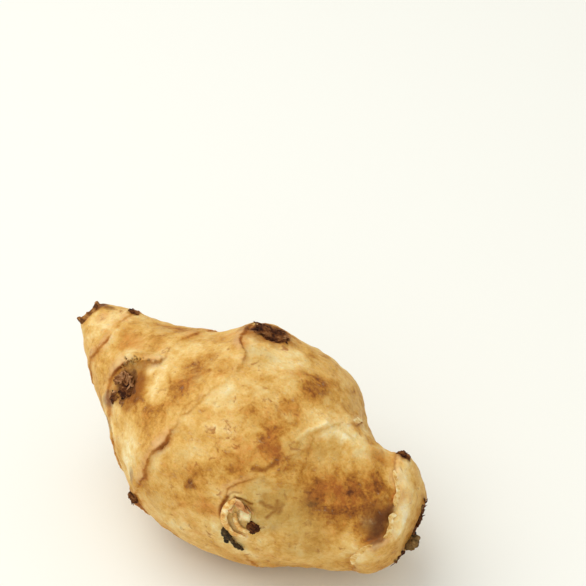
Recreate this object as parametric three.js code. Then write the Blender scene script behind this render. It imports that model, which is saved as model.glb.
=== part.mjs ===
// A Jerusalem artichoke tuber, the swollen underground stem of Helianthus tuberosus.
// It is one grown solid: a tapering tip with a snapped stalk, a broad belly ringed by leaf
// scars with a bud on each side, and a short narrower last joint that ends in a torn collar.
// Millimetres, +Z up. It lies along X on the flat of its belly, tip towards -X and raised.
// The origin is on the surface it rests on, under the middle of its bounding box.

import * as THREE from "three";
import { mergeVertices } from "three/addons/utils/BufferGeometryUtils.js";

// Driving dimensions.
const LENGTH = 90; // along the spine, from the snapped tip to the torn end
const GIRTH = 50; // across the widest joint
const SEGMENTS = 44; // round the tuber
const SECTIONS = 64; // along it

// The outline of the tuber turned about a straight spine. Each point is a share of LENGTH
// along the spine and a share of half GIRTH out from it. It starts inside the hollow tip.
const OUTLINE = [
  [0.03, 0.0],
  [0.02, 0.06],
  [0.0, 0.105],
  [0.025, 0.18],
  [0.08, 0.3],
  [0.21, 0.52],
  [0.37, 0.86],
  [0.515, 1.0],
  [0.66, 0.92],
  [0.775, 0.71],
  [0.87, 0.575],
  [0.935, 0.47],
  [0.972, 0.3],
  [0.982, 0.0],
];

// The spine's own path: share of LENGTH along X, and how far it stands to the side and up.
const SPINE = [
  [-0.012, 6.4, 36.6],
  [0.2, 1.5, 30.5],
  [0.4, -0.5, 25.0],
  [0.55, -0.5, 23.5],
  [0.75, -0.5, 20.5],
  [1.0, 1.0, 17.5],
];

// Bumps and hollows of the flesh. along is a share of LENGTH, and clock is the angle round the
// spine in degrees, with 0 at the front, 90 on top and 180 at the back. The rest is in mm.
const SWELLINGS = [
  { what: "bud on the top of the third ring", along: 0.445, clock: 128, wide: 7, proud: 2.7 },
  { what: "bud scar low on the third ring", along: 0.38, clock: -45, wide: 3, proud: 0.8 },
  { what: "fullness under the front", along: 0.44, clock: -32, wide: 9, proud: 1.1 },
  { what: "shoulder above the last joint", along: 0.66, clock: 140, wide: 10, proud: 2.1 },
  { what: "crease behind the last joint", along: 0.815, clock: 138, wide: 6.5, proud: -5.0 },
  { what: "ridge in front of the crease", along: 0.8, clock: 98, wide: 6, proud: 1.5 },
  { what: "belly under the last joint", along: 0.68, clock: -40, wide: 11, proud: 1.0 },
  { what: "top corner of the collar", along: 0.9, clock: 118, wide: 4.5, proud: 1.8 },
  { what: "front corner of the collar", along: 0.96, clock: 20, wide: 6, proud: 1.6 },
];

const spine = new THREE.CatmullRomCurve3(
  SPINE.map(([along, side, rise]) => new THREE.Vector3((along - 0.5) * LENGTH, side, rise)),
);

// How far the flesh stands out from the turned outline at a place on it.
function swellingAt(along, clock, out) {
  let proud = 0;
  for (const swelling of SWELLINGS) {
    const turn = THREE.MathUtils.degToRad(clock - swelling.clock);
    const round = Math.atan2(Math.sin(turn), Math.cos(turn)) * out;
    const forward = (along - swelling.along) * LENGTH;
    proud += swelling.proud * Math.exp(-(round ** 2 + forward ** 2) / swelling.wide ** 2);
  }
  return proud;
}

// Carries a point of the turned outline, its axis along Y, onto the bent spine.
function grownPoint(turned) {
  const along = THREE.MathUtils.clamp(turned.y / LENGTH, 0, 1);
  const middle = spine.getPointAt(along);
  const forward = spine.getTangentAt(along);
  const back = new THREE.Vector3(0, 0, 1).cross(forward).normalize();
  const up = new THREE.Vector3().crossVectors(forward, back);
  const out = Math.hypot(turned.x, turned.z);
  const clock = THREE.MathUtils.radToDeg(Math.atan2(turned.x, -turned.z));
  const grown = out > 0 ? 1 + swellingAt(along, clock, out) / Math.max(out, 4) : 1;
  return middle.addScaledVector(up, turned.x * grown).addScaledVector(back, turned.z * grown);
}

function tuberGeometry() {
  const outline = new THREE.SplineCurve(
    OUTLINE.map(([along, out]) => new THREE.Vector2((out * GIRTH) / 2, along * LENGTH)),
  );
  const points = outline.getPoints(SECTIONS).map((p) => new THREE.Vector2(Math.max(p.x, 0), p.y));
  const lathe = new THREE.LatheGeometry(points, SEGMENTS);
  lathe.deleteAttribute("normal");
  lathe.deleteAttribute("uv");
  const geometry = mergeVertices(lathe, 1e-3);
  const place = geometry.getAttribute("position");
  for (let i = 0; i < place.count; i++) {
    const grown = grownPoint(new THREE.Vector3().fromBufferAttribute(place, i));
    place.setXYZ(i, grown.x, grown.y, Math.max(grown.z, 0));
  }
  geometry.computeBoundingBox();
  const middle = geometry.boundingBox.getCenter(new THREE.Vector3());
  return geometry.translate(-middle.x, -middle.y, 0);
}

const skin = new THREE.MeshStandardMaterial({ color: 0xd9a862, roughness: 0.6, metalness: 0 });
const tuber = new THREE.Mesh(tuberGeometry(), skin);
tuber.name = "tuber";

const artichoke = new THREE.Group();
artichoke.add(tuber);

export default artichoke;
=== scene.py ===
# A Jerusalem artichoke tuber on a pale studio floor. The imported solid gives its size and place.
# Its skin, leaf scars, buds and torn ends are modelled here, round a copy of that solid.
import math
import random

import bpy
import numpy as np
from mathutils import Matrix, Vector, noise
from mathutils.bvhtree import BVHTree
from mathutils.kdtree import KDTree


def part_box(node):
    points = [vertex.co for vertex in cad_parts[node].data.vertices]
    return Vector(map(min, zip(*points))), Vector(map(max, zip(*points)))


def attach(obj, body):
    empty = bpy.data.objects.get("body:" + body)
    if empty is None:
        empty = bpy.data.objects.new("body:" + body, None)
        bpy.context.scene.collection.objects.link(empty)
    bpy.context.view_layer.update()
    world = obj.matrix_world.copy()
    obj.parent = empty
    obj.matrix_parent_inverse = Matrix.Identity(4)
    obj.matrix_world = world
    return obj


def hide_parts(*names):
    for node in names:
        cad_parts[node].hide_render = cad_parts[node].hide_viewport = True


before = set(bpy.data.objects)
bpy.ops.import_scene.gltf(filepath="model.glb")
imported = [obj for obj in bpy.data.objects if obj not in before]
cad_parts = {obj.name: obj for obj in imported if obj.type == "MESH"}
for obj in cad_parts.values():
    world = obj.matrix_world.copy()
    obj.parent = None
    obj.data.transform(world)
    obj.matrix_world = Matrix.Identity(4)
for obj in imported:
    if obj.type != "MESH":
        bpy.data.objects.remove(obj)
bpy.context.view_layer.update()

scene = bpy.context.scene
mm = 0.001  # everything in Blender is in metres
random.seed(7)

lowest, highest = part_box("tuber")
tuberLength = highest.x - lowest.x
tuberMiddle = (lowest + highest) / 2


def pick(*pieces):  # selects these and nothing else, the last one active
    bpy.ops.object.select_all(action="DESELECT")
    for piece in pieces:
        piece.select_set(True)
    bpy.context.view_layer.objects.active = pieces[-1]


def choose(piece, test=lambda place: True):  # opens a piece for editing, with these points selected
    pick(piece)
    bpy.ops.object.mode_set(mode="EDIT")
    bpy.ops.mesh.select_mode(type="VERT")
    bpy.ops.mesh.select_all(action="DESELECT")
    bpy.ops.object.mode_set(mode="OBJECT")
    for vertex in piece.data.vertices:
        vertex.select = test(vertex.co / mm)
    bpy.ops.object.mode_set(mode="EDIT")


def stopEditing():
    bpy.ops.object.mode_set(mode="OBJECT")


def resizeBy(*value):
    bpy.ops.transform.resize(value=value, center_override=(0, 0, 0))


def finishWith(piece, kind, **settings):  # adds a modifier and applies it
    modifier = piece.modifiers.new(kind.lower(), kind)
    for name, value in settings.items():
        setattr(modifier, name, value)
    pick(piece)
    bpy.ops.object.modifier_apply(modifier=modifier.name)


def joinAs(name, parts):  # makes these one piece of that name
    pick(*parts)
    if len(parts) > 1:
        bpy.ops.object.join()
    whole = bpy.context.view_layer.objects.active
    whole.name = name
    whole.data.name = name
    return whole


# The camera looks along the tuber from the front left of its broad end.
view = {
    "round": 32,  # degrees round from the front, towards the broad end
    "down": 38,  # degrees that it looks down
    "aim": (-0.3695, 0.8582),  # on the floor past the tuber, in tuber lengths from its middle
    "away": 5.72,  # tuber lengths from the aim
    "lens": 119.6,
}


def viewAxes():
    turn, dip = math.radians(view["round"]), math.radians(view["down"])
    right = Vector((math.cos(turn), math.sin(turn), 0))
    back = Vector((math.sin(turn) * math.cos(dip), -math.cos(turn) * math.cos(dip), math.sin(dip)))
    return right, back.cross(right), back


def makeCamera():
    right, up, back = viewAxes()
    sideways, deeper = (share * tuberLength for share in view["aim"])
    aim = Vector((tuberMiddle.x + sideways, tuberMiddle.y + deeper, lowest.z))
    lens = bpy.data.cameras.new("camera")
    lens.lens = view["lens"]
    lens.sensor_width = 36
    lens.clip_start = 0.01
    camera = bpy.data.objects.new("camera", lens)
    turned = Matrix((right, up, back)).transposed().to_4x4()
    camera.matrix_world = Matrix.Translation(aim + back * view["away"] * tuberLength) @ turned
    scene.collection.objects.link(camera)
    scene.camera = camera


# A white paper floor under one big soft lamp on the left, a weak one in front and a bright room.
studio = {
    "floor": 3.0,  # metres across
    "tooth": 900.0,  # paper fibres across the floor
    "floorColour": "#eeeee6",
    "roomColour": "#fffefb",
    "roomLight": 0.68,
    "key": {"left": 0.38, "behind": 0.14, "above": 0.85, "size": 1.0, "power": 5.7},
    "fill": {"left": 0.15, "behind": -0.60, "above": 0.50, "size": 0.60, "power": 1.1},
}


def fromHex(code):  # an sRGB colour as the linear one that shaders use
    shares = [int(code[i : i + 2], 16) / 255 for i in (1, 3, 5)]
    return [s / 12.92 if s <= 0.04045 else ((s + 0.055) / 1.055) ** 2.4 for s in shares] + [1.0]


def addNode(tree, kind, inputs=None, out=0, **settings):  # sets and links one node, and gives an output
    made = tree.nodes.new("ShaderNode" + kind)
    for name, value in settings.items():
        setattr(made, name, value)
    for socket, value in (inputs or {}).items():
        if isinstance(value, bpy.types.NodeSocket):
            tree.links.new(value, made.inputs[socket])
        else:
            made.inputs[socket].default_value = value
    return made.outputs[out] if made.outputs else made


def newMaterial(name):
    material = bpy.data.materials.new(name)
    material.use_nodes = True
    material.node_tree.nodes.clear()
    return material, material.node_tree


def setStops(ramp, stops):  # places and colours along a colour ramp
    steps = ramp.color_ramp.elements
    while len(steps) < len(stops):
        steps.new(0.5)
    for step, (place, code) in zip(steps, stops):
        step.position = place
        step.color = fromHex(code)


def makeFloor():  # matt paper, white with a faint tooth
    bpy.ops.mesh.primitive_plane_add(size=studio["floor"], location=(0, 0, lowest.z))
    floor = bpy.context.object
    floor.name = "floor"
    material, tree = newMaterial("white paper sweep")
    tooth = addNode(tree, "TexNoise", {"Scale": studio["tooth"], "Detail": 3.0})
    rise = addNode(tree, "Bump", {"Strength": 0.03, "Distance": 0.2 * mm, "Height": tooth})
    looks = {"Base Color": fromHex(studio["floorColour"]), "Roughness": 0.75, "Normal": rise}
    addNode(tree, "OutputMaterial", {"Surface": addNode(tree, "BsdfPrincipled", looks)})
    floor.data.materials.append(material)


def makeLights():
    right = viewAxes()[0]
    away = Vector((-right.y, right.x, 0))
    for name in ("key", "fill"):
        lamp = studio[name]
        light = bpy.data.lights.new(name, "AREA")
        light.size = lamp["size"]
        light.energy = lamp["power"]
        place = tuberMiddle - right * lamp["left"] + away * lamp["behind"] + Vector((0, 0, lamp["above"]))
        facing = (place - tuberMiddle).to_track_quat("Z", "Y").to_matrix().to_4x4()
        holder = bpy.data.objects.new(name, light)
        holder.matrix_world = Matrix.Translation(place) @ facing
        scene.collection.objects.link(holder)
    world = bpy.data.worlds.new("room")
    world.use_nodes = True
    backdrop = world.node_tree.nodes["Background"]
    backdrop.inputs["Color"].default_value = fromHex(studio["roomColour"])
    backdrop.inputs["Strength"].default_value = studio["roomLight"]
    scene.world = world
    scene.view_settings.view_transform = "Standard"


makeCamera()
makeFloor()
makeLights()
print("camera, floor and light are ready")

# The skin starts as a copy of the solid, remeshed. Lumps are mm high, mm wide, a seed and octaves.
skin = {
    "grain": 0.5,  # mm between the points of the skin
    "slices": 46,  # cuts across the tuber that find its middle line
    "fineNear": 1.21,  # mm each side of a ring where the skin is twice as fine
    "lumps": [(0.45, 13, 1, 1), (0.32, 5, 2, 2), (0.13, 1.9, 3, 3)],
    "patchy": (6, 4, 4),  # mm wide, seed and octaves of the wear
    "fibres": (0.9, 5, 2),
}


def copySolid():
    body = bpy.data.objects.new("tuber_skin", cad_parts["tuber"].data.copy())
    body.data.materials.clear()
    scene.collection.objects.link(body)
    pick(body)
    bpy.ops.object.mode_set(mode="EDIT")
    bpy.ops.mesh.select_all(action="SELECT")
    bpy.ops.mesh.remove_doubles(threshold=0.001 * mm)
    bpy.ops.mesh.tris_convert_to_quads()
    bpy.ops.mesh.normals_make_consistent(inside=False)
    stopEditing()
    finishWith(body, "SUBSURF", levels=2, render_levels=2)
    finishWith(body, "REMESH", mode="VOXEL", voxel_size=skin["grain"] * mm)
    finishWith(body, "SMOOTH", factor=0.5, iterations=6)
    return body


def pointsOf(piece):
    co = np.empty(len(piece.data.vertices) * 3)
    piece.data.vertices.foreach_get("co", co)
    return co.reshape(-1, 3) / mm


def normalsOf(piece):
    found = np.empty(len(piece.data.vertices) * 3)
    piece.data.vertices.foreach_get("normal", found)
    return found.reshape(-1, 3)


def treeOf(piece):
    faces = [list(face.vertices) for face in piece.data.polygons]
    return BVHTree.FromPolygons(pointsOf(piece).tolist(), faces)


class Surface:  # where a place on the tuber, along it and round it, is in space
    def __init__(self, piece):
        points = pointsOf(piece)
        self.start, self.length = points[:, 0].min(), np.ptp(points[:, 0])
        edges = np.linspace(self.start, self.start + self.length, skin["slices"] + 1)
        self.slices = (edges[:-1] + edges[1:]) / 2
        which = np.clip(np.digitize(points[:, 0], edges) - 1, 0, skin["slices"] - 1)
        across = [points[which == i] for i in range(skin["slices"])]
        self.middleY = np.array([(part[:, 1].min() + part[:, 1].max()) / 2 for part in across])
        self.middleZ = np.array([(part[:, 2].min() + part[:, 2].max()) / 2 for part in across])
        self.tree = treeOf(piece)

    def middleAt(self, along):
        x = self.start + along * self.length
        return Vector((x, np.interp(x, self.slices, self.middleY), np.interp(x, self.slices, self.middleZ)))

    def frameAt(self, along, clock):  # point, normal, the way towards the broad end and the way round
        middle = self.middleAt(along)  # a clock of 0 is in front and 90 on top
        turn = math.radians(clock)
        ray = Vector((0, -math.cos(turn), math.sin(turn)))
        point, normal = self.tree.ray_cast(middle, ray)[:2]
        if point is None:
            point, normal = self.tree.find_nearest(middle + ray * 30)[:2]
        forward = (Vector((1, 0, 0)) - normal * normal.x).normalized()
        return point, normal, forward, normal.cross(forward)

    def frameToward(self, along, toward):  # the same, straight out from the middle of a slice
        point, normal = self.tree.ray_cast(self.middleAt(along), Vector(toward).normalized())[:2]
        forward = (Vector((0, 0, 1)) - normal * normal.z).normalized()
        return point, normal, forward, normal.cross(forward)


tuber = copySolid()
surface = Surface(tuber)
print("the solid is copied and remeshed:", len(tuber.data.polygons), "faces")

# Each ring is a line round the tuber where a scale leaf was joined. A point of it is the degrees
# round, the share of the length, how much relief the line has there and how dark its crack is.
# The skin before the line ends in a lip, and past the line lies the paler skin that it covered.
# Heights and widths are in mm. A peel is a torn strip of the dry leaf that still stands on the
# ring: from and to degrees round, how far it reaches back over the skin, and how far it lifts.
rings = [
    {
        "before": 0.4, "after": 0.1, "fold": 0.15, "lip": 0.12, "crack": 0.3, "push": 0.0, "fresh": 3,
        "line": [
            (-130, 0.12, 0.5, 0.6), (-60, 0.11, 0.6, 0.6), (22, 0.103, 0.8, 0.7), (37, 0.118, 1.1, 1.0),
            (55, 0.133, 1.1, 1.1), (64, 0.136, 0.9, 0.9), (74, 0.138, 0.5, 0.3), (91, 0.137, 0.5, 0.4),
            (121, 0.135, 0.7, 0.7), (180, 0.13, 0.5, 0.5),
        ],
        "peels": [(-110, -70, 0.8, 0.15), (150, 205, 0.8, 0.15)],
    },
    {
        "before": 0.7, "after": 0.1, "fold": 0.35, "lip": 0.05, "crack": 0.4, "push": 1.2, "fresh": 6,
        "line": [
            (-129, 0.23, 0.8, 0.7), (-80, 0.285, 0.4, 0.3), (-30, 0.27, 0.4, 0.4), (11, 0.24, 0.7, 0.8),
            (24, 0.209, 0.5, 0.6), (40, 0.205, 0.6, 0.5), (54, 0.213, 1.1, 0.7), (61, 0.228, 1.7, 1.0),
            (65, 0.255, 2.2, 1.2), (69, 0.290, 2.2, 1.2), (73, 0.315, 1.5, 0.9), (77, 0.328, 0.7, 0.3),
            (85, 0.325, 0.4, 0.1), (95, 0.327, 0.5, 0.5), (105, 0.342, 0.7, 1.0), (140, 0.34, 0.4, 0.5),
            (180, 0.30, 0.5, 0.4),
        ],
        "peels": [(-128, -96, 0.9, 0.2), (150, 185, 0.9, 0.2)],
    },
    {
        "before": 0.75, "after": 0.1, "fold": 0.2, "lip": 0.1, "crack": 0.36, "push": 0.5, "fresh": 12,
        "line": [
            (-140, 0.45, 0.6, 0.5), (-90, 0.42, 0.5, 0.4), (-45, 0.38, 0.6, 0.5),
            (-12, 0.369, 0.8, 0.7), (2, 0.395, 1.0, 0.9), (9, 0.409, 1.1, 0.8), (15, 0.406, 1.2, 1.0),
            (21, 0.41, 1.3, 1.1), (28, 0.43, 1.3, 1.2), (35, 0.451, 1.2, 1.1), (39, 0.453, 1.0, 0.9),
            (42, 0.467, 0.8, 0.7), (47, 0.459, 0.3, 0.2), (51, 0.485, 0.3, 0.3), (58, 0.498, 0.4, 0.15),
            (64, 0.508, 0.4, 0.1), (69, 0.522, 0.4, 0.1), (77, 0.535, 0.5, 0.1), (85, 0.536, 0.5, 0.2),
            (92, 0.523, 0.9, 0.9), (97, 0.494, 1.0, 1.1), (105, 0.473, 0.9, 0.9), (140, 0.45, 0.7, 0.6),
            (180, 0.47, 0.6, 0.5),
        ],
        "peels": [(118, 150, 0.9, 0.2), (-150, -108, 0.9, 0.2), (186, 206, 0.8, 0.2)],
    },
    {
        "before": 0.35, "after": 0.1, "fold": 0.1, "lip": 0.12, "crack": 0.22, "push": 0.2, "fresh": 5,
        "line": [
            (-120, 0.73, 0.6, 0.5), (-60, 0.7, 0.5, 0.4), (-20, 0.67, 0.4, 0.3), (0, 0.645, 0.3, 0.2),
            (10, 0.628, 0.4, 0.4), (22, 0.632, 0.5, 0.5), (26, 0.65, 0.5, 0.5), (31, 0.674, 0.3, 0.3),
            (35, 0.699, 0.2, 0.1), (39, 0.727, 0.2, 0.1), (47, 0.728, 0.3, 0.2), (54, 0.745, 0.4, 0.2),
            (61, 0.764, 0.5, 0.2), (66, 0.764, 0.5, 0.2), (73, 0.759, 0.7, 0.1), (82, 0.766, 0.9, 0.1),
            (91, 0.784, 0.9, 0.1), (105, 0.812, 0.8, 0.3), (120, 0.8, 0.8, 0.6), (150, 0.76, 0.7, 0.5),
            (170, 0.7, 0.7, 0.6),
        ],
        "peels": [(104, 126, 0.9, 0.2), (158, 182, 0.8, 0.2), (-120, -85, 0.8, 0.2)],
    },
    {
        "before": -0.5, "after": 0.6, "fold": -0.1, "lip": 0.2, "crack": 0.35, "push": 0.0, "fresh": 5,
        "line": [
            (-120, 0.88, 0.7, 0.6), (-59, 0.9, 0.6, 0.5), (-6, 0.921, 0.8, 0.4), (0, 0.933, 0.8, 0.4),
            (8, 0.946, 0.8, 0.5), (15, 0.960, 0.9, 0.6), (20, 0.978, 1.0, 0.8), (27, 0.984, 1.0, 0.9),
            (42, 0.983, 1.0, 0.8), (56, 0.976, 0.9, 0.5), (81, 0.966, 1.0, 0.6), (88, 0.956, 0.9, 0.5),
            (95, 0.942, 0.8, 0.5), (110, 0.914, 0.8, 0.7), (150, 0.89, 0.6, 0.6),
            (180, 0.885, 0.6, 0.5),
        ],
        "peels": [
            (-22, 14, -0.8, 0.15), (22, 60, -0.7, 0.15), (66, 100, -0.7, 0.15), (128, 160, -0.9, 0.2),
            (-120, -70, -1.0, 0.2),
        ],
    },
]


def ringLine(ring, seed, samples=900):
    clocks = np.linspace(-180, 180, samples, endpoint=False)
    known = sorted(ring["line"])
    values = [np.interp(clocks, [k[0] for k in known], [k[i] for k in known], period=360) for i in (1, 2, 3)]
    frames = []
    for clock, along in zip(clocks, values[0]):
        turn = math.radians(clock)
        spot = Vector((math.cos(turn), math.sin(turn), seed))
        along += 0.005 * noise.noise(spot * 5) + 0.003 * noise.noise(spot * 19)
        frames.append(surface.frameAt(float(along), float(clock)))
    return {
        "points": np.array([found[0] for found in frames]),
        "normals": np.array([found[1] for found in frames]),
        "forwards": np.array([found[2] for found in frames]),
        "clocks": clocks,
        "relief": values[1],
        "dark": values[2],
    }


def pastRing(points, line):  # mm past the ring, below 0 before it, and which point of it is nearest
    tree = KDTree(len(line["points"]))
    for i, point in enumerate(line["points"]):
        tree.insert(point, i)
    tree.balance()
    nearest = np.array([tree.find(point)[1] for point in points])
    apart = points - line["points"][nearest]
    side = np.sign((apart * line["forwards"][nearest]).sum(1))
    return side * np.linalg.norm(apart, axis=1), nearest


ringLines = [ringLine(ring, seed) for seed, ring in enumerate(rings)]

# Buds lie just past the rings, in pairs on opposite sides. Each has its share of the length and the
# degrees round, or the way that it faces. Then in mm: wide is round the tuber, long is along it,
# bulge is the swelling that carries the bud and deep is its dimple. Crust is how dark its middle is.
eyeKeys = ("along", "facing", "wide", "long", "bulge", "deep", "crust")
eyeSizes = {
    "top_eye": (0.523, 116, 3.4, 4.6, 0.7, 0.5, 1.0),
    "left_eye": (0.267, 49, 3.7, 3.6, 0.6, 1.3, 0.75),
    "front_eye": (0.678, 9, 4.8, 4.1, 0.5, 0.9, 0.0),
    "tip_bud": (0.137, 118, 1.3, 1.1, 0.4, 0.2, 0.9),
    "low_scar": (0.36, -16, 1.8, 1.5, 0.5, 0.2, 0.6),
    "collar_bud": (0.925, 119, 1.6, 1.3, 0.3, 0.3, 0.9),
    "back_eye": (0.71, 185, 3.2, 2.8, 0.6, 0.6, 0.9),
    "far_eye": (0.27, -135, 3.0, 2.8, 0.6, 0.6, 0.9),
    "under_bud": (0.13, -60, 1.2, 1.0, 0.3, 0.2, 0.7),
    "end_scar": (0.92, (0.71, 0.57, -0.42), 5.2, 5.2, 0.9, 2.0, 0.75),
}
eyes = {name: dict(zip(eyeKeys, sizes)) for name, sizes in eyeSizes.items()}
for eye in eyes.values():
    find = surface.frameToward if isinstance(eye["facing"], tuple) else surface.frameAt
    eye["place"] = find(eye["along"], eye["facing"])

# The tip, where the stolon snapped off: a blunt cone with a ragged rim and a hollow end. In mm,
# but its middle is given in shares of the box.
tip = {
    "end": (0.019, 0.606, 0.777),
    "axis": (-0.88, 0.26, 0.40),
    "radius": 2.3,
    "merges": 5.2,  # from its middle to where the cone has run out into the skin
    "rim": 0.2,  # how far the rim stands past the middle
    "deep": 2.6,
    "notch": (0.42, -0.67, 0.62),  # the side that is torn lower, and by how much
    "lower": 1.4,
    "hollow": (1.5, 2.1),  # from the hollow's floor to its wall, from the middle out
    "behind": (-6.0, -3.5),  # how far back the cone reaches
    "browned": (-5.0, -1.5),
    "crust": (1.7, 2.3),
    "halo": (2.2, 3.6),
}
tipAxis = Vector(tip["axis"]).normalized()
tipNotch = Vector(tip["notch"])
tipNotch = (tipNotch - tipAxis * tipNotch.dot(tipAxis)).normalized()
tipEnd = Vector([low + share * (high - low) for low, high, share in zip(lowest, highest, tip["end"])]) / mm

# Raised folds of the skin: the points along and round it runs through, its width and height in mm.
# Each fold is also painted cream along its ridge: partly pale skin, partly a painted highlight.
folds = [
    ([(0.765, 84), (0.806, 88), (0.838, 87), (0.862, 93), (0.881, 103)], 1.0, 0.8),
    ([(0.735, 62), (0.745, 72), (0.765, 84)], 0.5, 0.35),
    ([(0.150, 78), (0.147, 62), (0.135, 50)], 0.9, 0.4),
    ([(0.205, 20), (0.235, 14), (0.27, 8)], 0.8, 0.5),
    ([(0.99, 20), (0.997, 45), (0.992, 70)], 0.8, 0.3),
]


def fineMesh(piece):  # splits the faces near rings and buds
    points = pointsOf(piece)
    near = np.zeros(len(points), bool)
    for line in ringLines:
        near |= np.abs(pastRing(points, line)[0]) < skin["fineNear"]
    spots = [(eye["place"][0], max(eye["wide"], eye["long"]) + skin["fineNear"]) for eye in eyes.values()]
    for spot, reach in [*spots, (tipEnd, tip["merges"])]:
        near |= np.linalg.norm(points - np.array(spot), axis=1) < reach
    pick(piece)
    picked = [all(near[v] for v in face.vertices) for face in piece.data.polygons]
    piece.data.vertices.foreach_set("select", np.zeros(len(points), bool))
    piece.data.edges.foreach_set("select", np.zeros(len(piece.data.edges), bool))
    piece.data.polygons.foreach_set("select", picked)
    bpy.ops.object.mode_set(mode="EDIT")
    bpy.ops.mesh.select_mode(type="FACE")
    bpy.ops.mesh.subdivide(number_cuts=1)
    stopEditing()


fineMesh(tuber)
print("the skin has", len(tuber.data.polygons), "faces")


def smooth(low, high, value):
    share = np.clip((value - low) / (high - low), 0, 1)
    return share * share * (3 - 2 * share)


def noiseOver(points, size, seed, octaves=1):  # from about -1 to 1, its lumps about size mm wide
    shift = Vector((seed * 17.3, seed * 5.1, seed * 9.7))
    if octaves == 1:
        return np.array([noise.noise(Vector(p) / size + shift) for p in points])
    return np.array([noise.fractal(Vector(p) / size + shift, 1.0, 2.0, octaves) for p in points])


def bell(value, wide, middle=0):
    return np.exp(-(((value - middle) / wide) ** 2))


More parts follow.
